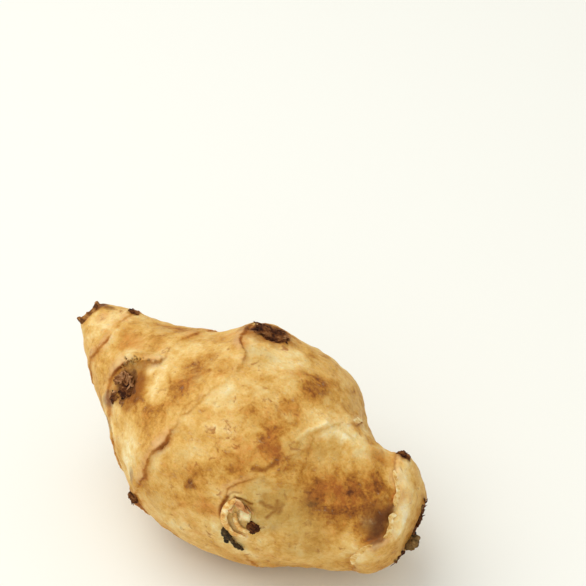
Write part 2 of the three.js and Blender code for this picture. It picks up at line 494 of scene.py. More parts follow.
# Patches of colour: the share of the length, degrees round, mm round and along, and how strong.
patches = {
    # Cream patches along the broad end's top shoulder, 0.74 to 0.86 along and 84 to 92 round, are partly
    # pale skin and partly a painted highlight on that ridge.
    "cream": [
        (0.085, 62, 3.5, 4, 0.8), (0.15, 70, 2.5, 2, 0.8), (0.32, 14, 7, 5, 1.0), (0.26, 25, 3, 4, 0.6),
        (0.55, 72, 5, 4, 0.6), (0.39, 90, 3, 3, 0.7), (0.355, 58, 4, 2.5, 0.7), (0.59, 107, 5, 5, 0.9),
        (0.554, 31, 3, 3, 0.6), (0.58, 45, 4, 4, 0.5), (0.765, 88, 3, 3, 0.7), (0.856, 91, 2.5, 4, 0.8),
        (0.945, 96, 3, 3, 0.8), (0.99, 75, 3, 2, 0.6), (0.753, 12, 5, 5, 0.5), (0.93, 2, 3, 3, 0.7),
        (0.66, -14, 4, 5, 0.4), (0.23, 66, 2, 3, 0.9), (0.62, 85, 4, 4, 0.3),
        (0.315, 68, 2.0, 1.3, 0.9), (0.44, 22, 3, 2, 0.8), (0.74, 84, 3, 3, 0.7), (0.79, 92, 3, 3, 0.6),
        (0.452, 88, 4, 3, 0.6), (0.572, 93, 5, 4, 0.5), (0.676, 10, 2.4, 2.2, 1.0),
        (0.778, 84, 3, 2, 0.8), (0.50, -10, 5, 4, 0.6), (0.52, 12, 3, 3, 0.5), (0.61, -6, 4, 4, 0.5),
        (0.99, 40, 3, 2, 0.7),
    ],
    "golden": [
        (0.18, 85, 5, 4, 0.6), (0.26, 104, 4, 5, 0.4), (0.43, 70, 7, 5, 1.0), (0.505, 80, 3, 3, 0.7),
        (0.36, 38, 4, 3, 0.4), (0.62, 62, 4, 4, 0.4), (0.69, 68, 5, 4, 0.5), (0.655, 42, 3, 3, 0.25),
        (0.70, 51, 4, 4, 0.6), (0.764, 54, 4, 4, 0.7), (0.535, 17, 5, 4, 0.9), (0.50, 2, 5, 4, 0.4),
        # The wide strong golden patches on the broad end, 0.83 to 0.94 along, are partly browner skin and
        # partly painted shade on its shadow side.
        (0.59, 8, 4, 4, 0.7), (0.766, 39, 5, 4, 0.8), (0.83, 48, 7, 5, 1.0), (0.89, 50, 8, 5, 1.0),
        (0.93, 65, 6, 4, 1.0), (0.91, 80, 4, 3, 0.9), (0.89, 98, 3, 3, 0.6), (0.87, 32, 6, 4, 1.0),
        # the golden patch at 0.31 along and 52 round is partly the brown bud, partly painted shade on the
        # left bud's rounded side
        (0.94, 28, 6, 4, 1.0), (0.31, 52, 5, 3.5, 0.9), (0.865, 15, 5, 4, 0.6), (0.70, 100, 5, 4, 0.6),
        (0.76, 116, 5, 5, 0.6),
    ],
    "rust": [
        (0.13, 60, 3, 3, 0.5), (0.22, 80, 4, 4, 0.4), (0.44, 66, 4, 4, 0.4), (0.655, 42, 4, 4, 0.3),
        (0.70, 49, 5, 3, 0.55), (0.60, 6, 4, 4, 0.5), (0.53, -10, 5, 5, 0.5), (0.83, 50, 4, 4, 0.4),
        (0.89, 98, 3, 3, 0.6), (0.074, 82, 1.6, 1.3, 1.0), (0.03, 60, 3, 1.5, 0.7),
        (0.98, 86, 2.5, 2, 0.6), (0.96, 10, 4, 3, 0.4), (0.70, 78, 3, 3, 0.4),
    ],
    "umber": [
        # The umber patches at the collar, 0.95 to 0.972 along, are partly a stain and partly painted shade
        # in the groove under the collar's raised lip.
        (0.545, 15, 2.2, 1.4, 0.45), (0.968, 30, 4.2, 3.0, 1.0), (0.972, 49, 3.0, 1.6, 0.9),
        # the umber patch at 0.300 along and 57 round is partly the brown bud, partly painted shade on the
        # left bud's rounded side
        (0.95, 38, 4.5, 3.0, 0.4), (0.300, 57, 2.2, 1.3, 0.4), (0.043, 105, 2.2, 1.2, 0.9),
        (0.067, 109, 1.0, 1.6, 0.6),
    ],
    "plum": [(0.36, 0, 2.2, 1.4, 0.7), (0.225, 3, 1.6, 2.0, 0.6), (0.222, 26, 1.8, 1.6, 0.9)],
    # The first halo patch is partly the brown bud and partly painted shade on the left bud's rounded side.
    "halo": [(0.302, 52, 3.3, 3.4, 1.0), (0.285, 38, 2, 2.4, 0.6)],
    "olive": [
        (0.735, 14, 6, 6, 0.8), (0.80, 16, 6, 5, 0.7), (0.70, 26, 4, 4, 0.6), (0.82, -2, 6, 5, 0.5),
        (0.80, 72, 4, 4, 0.4), (0.55, 96, 4, 4, 0.4), (0.74, 60, 4, 3, 0.4),
    ],
    "freckle": [
        (0.54, 16, 4.5, 4.5, 1.0), (0.60, 44, 5, 5, 0.9), (0.66, 62, 6, 6, 0.7), (0.72, 48, 6, 6, 0.8),
        (0.85, 42, 7, 6, 0.9), (0.58, 88, 5, 5, 0.5), (0.80, 20, 6, 6, 0.6), (0.13, 45, 4, 4, 0.4),
        (0.43, 78, 6, 4, 0.4), (0.56, -12, 6, 5, 0.6),
    ],
}
for turn in range(16):  # and the same mix over the sides that face away
    kind = random.choice(("golden", "golden", "cream", "cream", "rust", "umber"))
    size = random.uniform(2.5, 7) * (0.5 if kind == "umber" else 1)
    spot = (random.uniform(0.15, 0.92), random.uniform(135, 320), size)
    patches[kind].append((*spot, size * random.uniform(0.6, 1), random.uniform(0.4, 0.9)))

# Brown scratches and folds by the open bud: points in mm from the bud, x towards the broad end
# and y round the tuber, then how wide and how strong.
scratches = [
    ([(-3.6, 3.9), (-4.5, 1.5), (-4.6, -0.6), (-3.8, -2.9), (-2.6, -4.4)], 0.35, 1.0),
    ([(-1.8, 4.3), (0.0, 3.9), (1.7, 3.3)], 0.28, 0.9),
    ([(0.9, 10.6), (3.4, 10.8), (5.4, 12.4)], 0.4, 0.6),
    ([(3.6, 4.0), (5.2, 3.2), (7.0, 2.6), (8.3, 3.6)], 0.36, 1.0),
    ([(7.2, 4.6), (6.9, 2.6), (5.2, 0.4)], 0.34, 0.9),
    ([(4.2, 5.4), (4.5, 4.9)], 0.8, 0.4),
    ([(3.4, 8.6), (4.4, 8.2)], 0.7, 0.25),
    ([(7.0, -2.0), (7.2, -2.3)], 1.0, 0.25),
    ([(8.0, 3.4), (7.6, 1.8)], 0.45, 0.8),
    ([(-3.4, 4.4), (-2.4, 5.2), (-0.6, 5.4)], 0.22, 0.4),
]

# How the skin is shaped and marked at a ring. Each pair is a width and where it lies past the ring.
atRing = {
    "wander": [(0.35, 1.5, 30, 2), (0.16, 0.8, 80, 1)],  # how far, over how many mm, seed, octaves
    "before": (3.8, 0.0),
    "after": (2.4, 3.0),
    "fold": (1.0, -1.1),
    "lip": (0.3, -0.15),
    "crack": (0.28, 0.35),
    "fibres": (5.0, 0.0),
    "lean": (0.8, -0.3),
    # the dark line lies in the crack's groove: partly the brown scar, partly painted shade in the groove
    "darkLine": (0.26, 0.25),
    "brownSeam": (1.3, 0.2),
    # the lip is painted pale on its raised edge: partly its dry papery edge, partly a painted highlight
    "lipShine": 0.7,
}

# The same at a bud, but in shares of the bud's own size, with heights in mm.
atBud = {
    "wander": [(0.25, 1.8, 50), (0.12, 0.6, 51)],
    "through": 8,  # mm that its mark reaches into the tuber
    "swelling": 1.7,
    "dimple": 0.75,
    "brim": (0.22, 1.05),
    "brimHigh": 0.4,
    "crust": (0.7, 1.1),
    "halo": (0.9, 1.8),
    "crumbs": [(0.4, 0.9, 52, 3), (0.2, 0.45, 53, 1)],  # mm high and wide, seed, octaves
}

points = pointsOf(tuber)
normals = normalsOf(tuber)
patchy = noiseOver(points, *skin["patchy"])
fibre = noiseOver(points * np.array((0.3, 1, 1)), *skin["fibres"])
rise = sum(high * noiseOver(points, *lump) for high, *lump in skin["lumps"])
push = np.zeros_like(points)  # mm that the skin leans over past a ring
maskNames = ("lip", "crack", "seam", "fresh", "crust", "halo", "scratch", *patches)
masks = {name: np.zeros(len(points)) for name in maskNames}


def mark(name, values):  # a mask keeps the stronger of what it has and these values
    masks[name] = np.maximum(masks[name], values)


def awayFrom(place):  # mm of each point from a place: along the tuber, round it and outwards
    point, normal, forward, sideways = place
    apart = points - np.array(point)
    return apart @ np.array(forward), apart @ np.array(sideways), apart @ np.array(normal)


def farFrom(begin, end, spots):  # how far each spot is from the straight line between two points
    step = end - begin
    share = np.clip(((spots - begin) @ step) / (step**2).sum(), 0, 1)
    return np.linalg.norm(spots - begin - share[:, None] * step, axis=1)


for number, (ring, line) in enumerate(zip(rings, ringLines)):
    past, nearest = pastRing(points, line)
    broken = np.clip(0.7 + 0.9 * noiseOver(line["points"], 4.0, 20 + number), 0.1, 1.3)[nearest]
    relief = line["relief"][nearest]
    dark = line["dark"][nearest] * broken
    for far, size, seed, octaves in atRing["wander"]:
        past = past + far * noiseOver(points, size, seed + number, octaves)
    drop = 0.6 + 0.8 * (1 - broken.clip(0, 1))
    before = np.where(past < 0, bell(past, *atRing["before"]), 1 - smooth(0, 1, past / drop))
    after = bell(np.maximum(past, 0), *atRing["after"])
    rise += relief * (ring["before"] * before + ring["after"] * after)
    folded = ring["fold"] * bell(past, *atRing["fold"])
    rise += relief * (folded + broken * ring["lip"] * bell(past, *atRing["lip"]))
    rise -= dark * ring["crack"] * bell(past, *atRing["crack"])
    rise += 0.14 * fibre * bell(past, *atRing["fibres"])
    lean = ring["push"] * (smooth(0.6, 1.3, relief) + 0.15)
    push += (lean * bell(past, *atRing["lean"]))[:, None] * line["forwards"][nearest]
    edge = -0.6 if ring["before"] > 0 else 0.7
    # The lip mask is partly the pale dry edge and partly a painted highlight on the raised lip.
    mark("lip", 0.8 * relief.clip(0, 1) * broken * bell(past, atRing["lipShine"], edge))
    # The crack mask is partly the brown scar line and partly painted shade in its groove.
    mark("crack", dark * bell(past, *atRing["darkLine"]))
    mark("seam", dark * bell(past, *atRing["brownSeam"]))
    bare = smooth(0, 0.5, past) * (1 - smooth(0.3, 1, past / ring["fresh"] + 0.35 * patchy))
    mark("fresh", bare * (0.5 + 0.5 * relief.clip(0, 1)))

for eye in eyes.values():
    forth, aside, out = awayFrom(eye["place"])
    away = np.sqrt((forth / eye["long"]) ** 2 + (aside / eye["wide"]) ** 2 + (out / atBud["through"]) ** 2)
    edge = away
    for far, size, seed in atBud["wander"]:
        edge = edge + far * noiseOver(points, size, seed)
    rise += eye["bulge"] * bell(away, atBud["swelling"]) - eye["deep"] * bell(away, atBud["dimple"])
    rise += atBud["brimHigh"] * bell(edge, *atBud["brim"]) * eye["bulge"]
    inside = 1 - smooth(*atBud["crust"], edge)
    (big, *bigLumps), (small, *smallLumps) = atBud["crumbs"]
    crumbs = big * noiseOver(points, *bigLumps) + small * np.abs(noiseOver(points, *smallLumps))
    rise += inside * eye["crust"] * crumbs
    mark("crust", inside * eye["crust"])
    mark("halo", eye["crust"] * (1 - smooth(*atBud["halo"], edge + 0.25 * patchy)))

for kind, spots in patches.items():
    for along, clock, wide, long, much in spots:
        forth, aside, out = awayFrom(surface.frameAt(along, clock))
        away = np.sqrt((forth / long) ** 2 + (aside**2 + out**2) / wide**2)
        mark(kind, much * (1 - smooth(0.3, 1.4, away + 0.45 * patchy)))

forth, aside, out = awayFrom(eyes["front_eye"]["place"])
flat = [forth + 0.25 * noiseOver(points, 1.2, 60), aside + 0.25 * noiseOver(points, 1.2, 61)]
flat = np.stack(flat, axis=1)
worn = np.clip(0.85 + 0.6 * patchy, 0.4, 1) * (np.abs(out) < 6)
for path, wide, much in scratches:
    for begin, end in zip(np.array(path[:-1]), np.array(path[1:])):
        mark("scratch", much * worn * bell(farFrom(begin, end, flat), 1.3 * wide))
rise -= 0.3 * masks["scratch"]

for path, wide, high in folds:
    stops = [np.array(surface.frameAt(*stop)[0]) for stop in path]
    ridge = np.zeros(len(points))
    for begin, end in zip(stops, stops[1:]):
        ridge = np.maximum(ridge, bell(farFrom(begin, end, points) + 0.4 * patchy, wide))
    rise += high * ridge * (ridge > 0.02)
    # cream along the ridge: partly pale skin, partly a painted highlight
    mark("cream", ridge)

# The end of the tip is brought to its blunt cone, and hollowed.
apart = points - np.array(tipEnd)
depth = apart @ np.array(tipAxis)
off = np.linalg.norm(apart - depth[:, None] * np.array(tipAxis), axis=1)
jagged = noiseOver(points, 1.3, 70, 2)
lower = tip["lower"] * smooth(0.1, 0.9, (apart @ np.array(tipNotch)) / np.maximum(off, 0.5))
edge = tip["rim"] - lower + 0.25 * jagged
level = edge - (edge + tip["deep"]) * (1 - smooth(*tip["hollow"], off + 0.25 * jagged))
share = np.clip((tip["merges"] - off) / (tip["merges"] - tip["radius"]), 0, 1) ** 2
share *= smooth(*tip["behind"], depth)
rise *= 1 - share
push += (share * (level - depth))[:, None] * np.array(tipAxis)
nearTip = smooth(*tip["browned"], depth)
mark("crust", nearTip * (1 - smooth(*tip["crust"], off + 0.3 * jagged)))
mark("halo", 0.7 * nearTip * (1 - smooth(*tip["halo"], off + 0.6 * patchy)))

keepFlat = smooth(0.2, 2.0, points[:, 2])  # the belly stays flat where it rests
moved = points + (normals * rise[:, None] + push) * keepFlat[:, None]
moved[:, 2] = np.maximum(moved[:, 2], 0)
tuber.data.vertices.foreach_set("co", (moved * mm).ravel())
tuber.data.update()
for name, values in masks.items():
    attribute = tuber.data.attributes.new(name, "FLOAT", "POINT")
    attribute.data.foreach_set("value", np.clip(values, 0, 1).astype(np.float32))
pick(tuber)
bpy.ops.object.shade_smooth()
print("the skin is worked")

# Thin satin skin over pale flesh: light goes a little way in, so its edges glow and its colour
# is a fine mottle of cream, gold and brown under papery flecks. Sizes of the mottle are in mm.
skinLooks = {
    "clouds": {  # size in mm, detail, roughness, distortion
        "broad": (11.0, 9, 0.58, 0.4),
        "middle": (4.2, 7, 0.62, 0.5),
        "small": (1.6, 6, 0.64, 0.4),
        "fine": (0.6, 4, 0.6, 0.0),
        "strands": (1.2, 5, 0.68, 1.2),
        "warm": (6.0, 8, 0.62, 0.3),
        "specks": (2.3, 5, 0.6, 0.6),
    },
    "stretched": {"strands": (0.4, 1, 1)},
    "tone": {  # what makes the skin paler, above 0, or browner
        "broad": 0.9, "middle": 0.95, "small": 0.5, "fine": 0.35, "strands": 0.4, "cream": 0.28,
        "fresh": 0.12, "golden": -0.27, "umber": -0.3, "seam": -0.12, "crack": -0.25, "halo": -0.2,
        "scratch": -0.3,
    },
    "middleTone": 0.53,
    "ramp": [
        (0.0, "#5e2e06"), (0.16, "#8f5312"), (0.32, "#b87e2a"), (0.47, "#cf9c48"),
        (0.62, "#deb262"), (0.77, "#e9c882"), (0.92, "#f0daa0"), (1.0, "#f6e8be"),
    ],
    "layers": [  # colour, what it follows, from and to, most
        (
            "#cc7a30", {"warm": 0.5, "small": 0.5, "rust": 0.16, "golden": 0.02, "cream": -0.05},
            0.53, 0.69, 0.5,
        ),
        ("#d0b070", {"warm": -0.5, "middle": 0.5, "fresh": 0.05, "cream": 0.03}, 0.03, 0.14, 0.35),
        (
            "#8c5216", {"strands": 0.65, "fine": 0.35, "rust": 0.04, "golden": 0.035, "umber": 0.05},
            0.565, 0.66, 0.45,
        ),
        ("#9a5416", {"specks": 1.0, "freckle": 0.09, "umber": 0.05}, 0.62, 0.71, 0.7),
        (
            "#f8e6b8", {"strands": -0.6, "small": -0.4, "fresh": 0.03, "cream": 0.03, "golden": -0.02},
            -0.43, -0.34, 0.2,
        ),
    ],
    "stains": [  # mask, colour, most, how broken up
        ("olive", "#a88a46", 0.55, 0.4), ("seam", "#c07026", 0.7, 0.5),
        ("umber", "#60340e", 0.9, 0.5), ("plum", "#7c5a48", 0.75, 0.7),
        # lip: partly the pale dry edge, partly a painted highlight on the raised lip
        ("halo", "#96580e", 0.85, 0.4), ("lip", "#f6e0a8", 0.4, 0.5), ("scratch", "#84460a", 1.0, 0.3),
        # crack: partly the brown scar line, partly painted shade in its groove
        ("crack", "#8a4a08", 0.8, 0.6), ("crust", "#4a2004", 0.96, 0.25),
    ],
    "freckle": {
        "apart": 1.7, "size": 0.3, "colour": "#8a4e10", "most": 0.3,
        "bare": 0.6,  # share of the cells that hold no freckle
        "edge": (0.27, 0.2), "crowd": (0.5, 0.64),
    },
    "roughness": (0.48, 0.66),
    "bumps": [("fine", 0.5, 0.18), ("small", 0.6, 0.6), ("strands", 0.5, 0.4)],  # strength, mm high
    "flesh": (0.15, (1.0, 0.5, 0.2), 2.0),  # how much light goes in, how far each colour goes, mm
}


def makeSkinMaterial():
    material, tree = newMaterial("tuber skin")
    where = addNode(tree, "TexCoord", out="Object")
    sources = {}
    for name, (size, detail, rough, bend) in skinLooks["clouds"].items():
        stretch = skinLooks["stretched"].get(name, (1, 1, 1))
        placed = {"Vector": where, "Location": [0.1 * len(sources)] * 3, "Scale": stretch}
        cloud = {"Vector": addNode(tree, "Mapping", placed), "Scale": 1 / (size * mm)}
        cloud.update({"Detail": detail, "Roughness": rough, "Distortion": bend})
        sources[name] = addNode(tree, "TexNoise", cloud)
    for name in masks:
        sources[name] = addNode(tree, "Attribute", out="Fac", attribute_name=name)

    tone = skinLooks["middleTone"]
    for name, weight in skinLooks["tone"].items():
        tone = addNode(tree, "Math", {0: sources[name], 1: weight, 2: tone}, operation="MULTIPLY_ADD")
    balance = sum(weight for name, weight in skinLooks["tone"].items() if name in skinLooks["clouds"]) / 2
    tone = addNode(tree, "Math", {0: tone, 1: balance}, operation="SUBTRACT")
    colour = addNode(tree, "ValToRGB", {0: tone})
    setStops(colour.node, skinLooks["ramp"])

    for code, follows, low, high, most in skinLooks["layers"]:
        total = 0.0
        for name, weight in follows.items():
            total = addNode(tree, "Math", {0: sources[name], 1: weight, 2: total}, operation="MULTIPLY_ADD")
        share = addNode(tree, "MapRange", {0: total, 1: low, 2: high, 4: most})
        colour = addNode(tree, "Mix", {0: share, 6: colour, 7: fromHex(code)}, 2, data_type="RGBA")

    freckle = skinLooks["freckle"]
    cells = {"Vector": where, "Scale": 1 / (freckle["apart"] * mm), "Randomness": 1.0}
    cells = addNode(tree, "TexVoronoi", cells, feature="F1").node.outputs
    chance = addNode(tree, "SeparateColor", {0: cells["Color"]})
    blurred = {0: sources["fine"], 1: 0.5, 2: cells["Distance"]}
    apart = addNode(tree, "Math", blurred, operation="MULTIPLY_ADD")
    reach = addNode(tree, "MapRange", {0: chance, 1: freckle["bare"], 4: freckle["size"]})
    inDot = addNode(tree, "Math", {0: apart, 1: reach}, operation="SUBTRACT")
    inDot = addNode(tree, "MapRange", {0: inDot, 1: freckle["edge"][0], 2: freckle["edge"][1]})
    crowd = {0: sources["freckle"], 1: 0.22, 2: sources["middle"]}
    crowd = addNode(tree, "Math", crowd, operation="MULTIPLY_ADD")
    much = {0: crowd, 1: freckle["crowd"][0], 2: freckle["crowd"][1], 4: freckle["most"]}
    dotted = addNode(tree, "Math", {0: inDot, 1: addNode(tree, "MapRange", much)}, operation="MULTIPLY")
    mixed = {0: dotted, 6: colour, 7: fromHex(freckle["colour"])}
    colour = addNode(tree, "Mix", mixed, 2, data_type="RGBA")

    for name, code, most, wear in skinLooks["stains"]:
        worn = {0: sources["small"], 1: 2 * wear, 2: -wear}
        worn = addNode(tree, "Math", worn, operation="MULTIPLY_ADD")
        share = addNode(tree, "Math", {0: sources[name], 1: worn}, operation="ADD")
        there = addNode(tree, "MapRange", {0: sources[name], 1: 0.02, 2: 0.25, 4: most})
        share = addNode(tree, "Math", {0: share, 1: there}, operation="MULTIPLY", use_clamp=True)
        colour = addNode(tree, "Mix", {0: share, 6: colour, 7: fromHex(code)}, 2, data_type="RGBA")

    bump = {}
    for name, strength, high in skinLooks["bumps"]:
        settings = {"Strength": strength, "Distance": high * mm, "Height": sources[name], **bump}
        bump = {"Normal": addNode(tree, "Bump", settings)}
    low, high = skinLooks["roughness"]
    gloss = addNode(tree, "MapRange", {0: sources["small"], 1: 0.3, 2: 0.7, 3: low, 4: high})
    through, colours, deep = skinLooks["flesh"]
    looks = {
        "Base Color": colour, "Roughness": gloss, "IOR": 1.4, "Specular IOR Level": 0.3, **bump,
        "Subsurface Weight": through, "Subsurface Radius": colours, "Subsurface Scale": deep * mm,
    }
    addNode(tree, "OutputMaterial", {"Surface": addNode(tree, "BsdfPrincipled", looks)})
    return material


tuber.data.materials.append(makeSkinMaterial())
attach(tuber, "root")
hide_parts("tuber")
print("the skin has its colours")

# The small dry parts are modelled flat at the origin, in mm, with x towards the broad end, y
# round the tuber and z outwards. Then they are laid on the skin at their place.
skinTree = treeOf(tuber)


def movePoints(piece, places):  # places in mm
    piece.data.vertices.foreach_set("co", (np.array(places, dtype=float) * mm).ravel())
    piece.data.update()


def layOnSkin(piece, place):
    point, normal, forward, sideways = place
    places = []
    for x, y, z in pointsOf(piece).tolist():
        over = point + forward * x + sideways * y
        hit = skinTree.ray_cast(over + normal * 10, -normal)[0] or skinTree.find_nearest(over)[0]
        places.append(hit + normal * z)
    movePoints(piece, places)


def setUpright(piece, point, outward, towards):  # stands a piece on a point, its z pointing outward
    outward = outward.normalized()
    across = (towards - outward * towards.dot(outward)).normalized()
    turned = Matrix((across, outward.cross(across), outward)).transposed()
    movePoints(piece, [point + turned @ Vector(place) for place in pointsOf(piece).tolist()])


def roughen(piece, kind, size, strength):  # pushes the points in and out by lumps about size mm wide
    texture = bpy.data.textures.new(f"{kind.lower()} lumps", kind)
    texture.noise_scale = size * mm
    settings = {"texture": texture, "texture_coords": "LOCAL", "mid_level": 0.5}
    finishWith(piece, "DISPLACE", strength=strength * mm, **settings)


dryPieces = {}  # name of the piece: what it is made of


def addPiece(name, parts, kind, place=None):  # joins the parts as one piece, and lays it on its place
    piece = joinAs(name, parts)
    if place:
        layOnSkin(piece, place)
    dryPieces[name] = kind
    return piece


# Small pointed leaves that close a bud, dried and curled. Each shape is mm long and wide,
# and degrees that it curls along and cups across. The taper is a width from and to a share of its
# length.
budScales = {
    "shapes": [(1.9, 1.3, 12, 60), (1.5, 1.4, -20, 50), (2.3, 0.8, 20, 70), (1.1, 1.0, 10, 50)],
    "thick": 0.16,
    "taper": [(-0.1, 0.1, 0.5), (0.1, 0.3, 0.85), (0.7, 0.9, 0.7), (0.9, 1.1, 0.12)],
}


def makeScale(long, wide, curl, cup):
    upright = (math.pi / 2, 0, 0)
    bpy.ops.mesh.primitive_grid_add(x_subdivisions=3, y_subdivisions=5, size=mm, rotation=upright)
    scale = bpy.context.object
    bpy.ops.object.transform_apply(location=False, rotation=True, scale=False)
    choose(scale)
    bpy.ops.transform.translate(value=(0, 0, mm / 2))
    resizeBy(wide, 1, long)
    stopEditing()
    for low, high, width in budScales["taper"]:
        choose(scale, lambda place: low * long < place.z < high * long)
        resizeBy(width, 1, 1)
        stopEditing()
    finishWith(scale, "SIMPLE_DEFORM", deform_method="BEND", deform_axis="X", angle=math.radians(curl))
    finishWith(scale, "SIMPLE_DEFORM", deform_method="BEND", deform_axis="Z", angle=math.radians(cup))
    finishWith(scale, "SOLIDIFY", thickness=budScales["thick"] * mm, offset=0)
    scale.data.transform(Matrix(((0, 0, 1, 0), (1, 0, 0, 0), (0, 1, 0, 0), (0, 0, 0, 1))))  # laid down
    bpy.ops.object.shade_smooth()
    return scale


def copyScale(master, x, y, z, heading, lift, size):  # degrees that it points to and stands up by
    copied = master.copy()
    copied.data = master.data.copy()
    scene.collection.objects.link(copied)
    place = Matrix.Translation((x * mm, y * mm, z * mm)) @ Matrix.Rotation(math.radians(heading), 4, "Z")
    place = place @ Matrix.Rotation(math.radians(-lift), 4, "Y")
    roll = Matrix.Rotation(math.radians(random.gauss(0, 22)), 4, "X")
    narrow = random.uniform(0.75, 1.2)
    copied.data.transform(place @ roll @ Matrix.Diagonal((size, size * narrow, size, 1)))
    return copied


def scatterScales(spots):  # x, y, spread, how many, heading or None for outwards, size, lift
    copies = []
    for x, y, spread, count, heading, size, lift in spots:
        for number in range(count):
            turn = random.uniform(0, 360)
            out = spread * math.sqrt(random.random())
            bearing = (turn if heading is None else heading) + random.gauss(0, 28)
            u = x + out * math.cos(math.radians(turn))
            v = y + out * math.sin(math.radians(turn))
            master = random.choice(scaleMasters)
            sized = size * random.uniform(0.65, 1.25)
            high, raised = random.uniform(0.0, 0.25), lift + random.gauss(0, 8)
            copies.append(copyScale(master, u, v, high, bearing, raised, sized))
    return copies


scabLumps = [("CLOUDS", 1.3, 1.1), ("CLOUDS", 0.5, 0.5), ("VORONOI", 0.45, 0.35)]  # mm wide and high


def makeScab(x, y, long, wide, high, seed):  # a crumbly dried lump, sunk by half
    bpy.ops.mesh.primitive_ico_sphere_add(subdivisions=5, radius=mm)
    scab = bpy.context.object
    shift = 7 * seed  # each scab is roughened in another part of the texture
    choose(scab)
    resizeBy(long, wide, high)
    bpy.ops.transform.translate(value=(shift * mm, 0, 0))
    stopEditing()
    for kind, size, strength in scabLumps:
        roughen(scab, kind, size, strength)
    scab.data.transform(Matrix.Translation(((x - shift) * mm, y * mm, 0)))
    bpy.ops.object.shade_smooth()
    return scab


def makeCrumbs(x, y, spread, count, size):
    crumbs = []
    for number in range(count):
        turn, out = random.uniform(0, 2 * math.pi), spread * math.sqrt(random.random())
        wide = size * random.uniform(0.4, 1.0) * mm
        bpy.ops.mesh.primitive_ico_sphere_add(subdivisions=1, radius=wide)
        crumb = bpy.context.object
        stretch = Matrix.Diagonal((random.uniform(0.7, 1.8), random.uniform(0.7, 1.3), 0.7, 1))
        spun = Matrix.Rotation(random.uniform(0, math.pi), 4, "Z") @ stretch
        place = ((x + out * math.cos(turn)) * mm, (y + out * math.sin(turn)) * mm, wide * 0.4)
        crumb.data.transform(Matrix.Translation(place) @ spun)
        crumbs.append(crumb)
    return crumbs


def makeStem(path, radii, sides=8):  # a stalk or root along a path in mm, closed at both ends
    bpy.ops.mesh.primitive_circle_add(vertices=sides, radius=radii[0] * mm, fill_type="NGON")
    stem = bpy.context.object
    first = (Vector(path[1]) - Vector(path[0])).to_track_quat("Z", "Y").to_matrix().to_4x4()
    stem.data.transform(Matrix.Translation(Vector(path[0]) * mm) @ first)
    pick(stem)
    bpy.ops.object.mode_set(mode="EDIT")
    bpy.ops.mesh.select_mode(type="FACE")
    bpy.ops.mesh.select_all(action="SELECT")
    for here, there, thin, thick in zip(path, path[1:], radii, radii[1:]):
        step = (Vector(there) - Vector(here)) * mm
        bpy.ops.mesh.extrude_region_move(TRANSFORM_OT_translate={"value": step})
        bpy.ops.transform.resize(value=(thick / thin,) * 3, center_override=Vector(there) * mm)
    bpy.ops.mesh.select_all(action="DESELECT")
    bpy.ops.mesh.select_mode(type="VERT")
    bpy.ops.mesh.select_non_manifold()
    bpy.ops.mesh.edge_face_add()
    bpy.ops.mesh.select_all(action="SELECT")
    bpy.ops.mesh.normals_make_consistent(inside=False)
    stopEditing()
    finishWith(stem, "SUBSURF", levels=3, render_levels=3)
    roughen(stem, "CLOUDS", 0.9, 0.8)
    roughen(stem, "CLOUDS", 0.35, 0.3)
    bpy.ops.object.shade_smooth()
    return stem


def raiseBy(steps):  # pulls the selected edge up step by step, and spreads it
    for spread, lift in steps:
        bpy.ops.mesh.extrude_region_move(TRANSFORM_OT_translate={"value": (0, 0, lift * mm)})
        resizeBy(spread, spread, 1)


def makeLip(x, y, long, wide, steps, start, end, thick):  # a curled rim, from start to end degrees
    bpy.ops.mesh.primitive_circle_add(vertices=48, radius=mm)
    lip = bpy.context.object
    choose(lip)
    resizeBy(long, wide, 1)
    raiseBy(steps)
    stopEditing()
    middle, half = (start + end) / 2, (end - start) / 2

    def bearing(place):  # degrees from the middle of the rim
        turn = math.degrees(math.atan2(place.y / wide, place.x / long))
        return (turn - middle + 180) % 360 - 180

    if half < 180:
        choose(lip, lambda place: abs(bearing(place)) > half)
        bpy.ops.mesh.delete(type="VERT")
        stopEditing()
    for vertex in lip.data.vertices:  # the rim is ragged, and thins to nothing at its two ends
        place = vertex.co / mm
        turn = math.radians(bearing(place) + middle)
        foot = Vector((long * math.cos(turn), wide * math.sin(turn), 0))
        ragged = 1 + 0.35 * noise.noise(Vector((math.cos(turn) * 4, math.sin(turn) * 4, x + y)))
        full = ragged * (max(0.0, 1 - abs(bearing(place) / half) ** 4) if half < 180 else 1)
        vertex.co = (foot + (place - foot) * full + Vector((x, y, 0))) * mm
    finishWith(lip, "SOLIDIFY", thickness=thick * mm, offset=-1)
    finishWith(lip, "SUBSURF", levels=2, render_levels=2)
    bpy.ops.object.shade_smooth()
    return lip


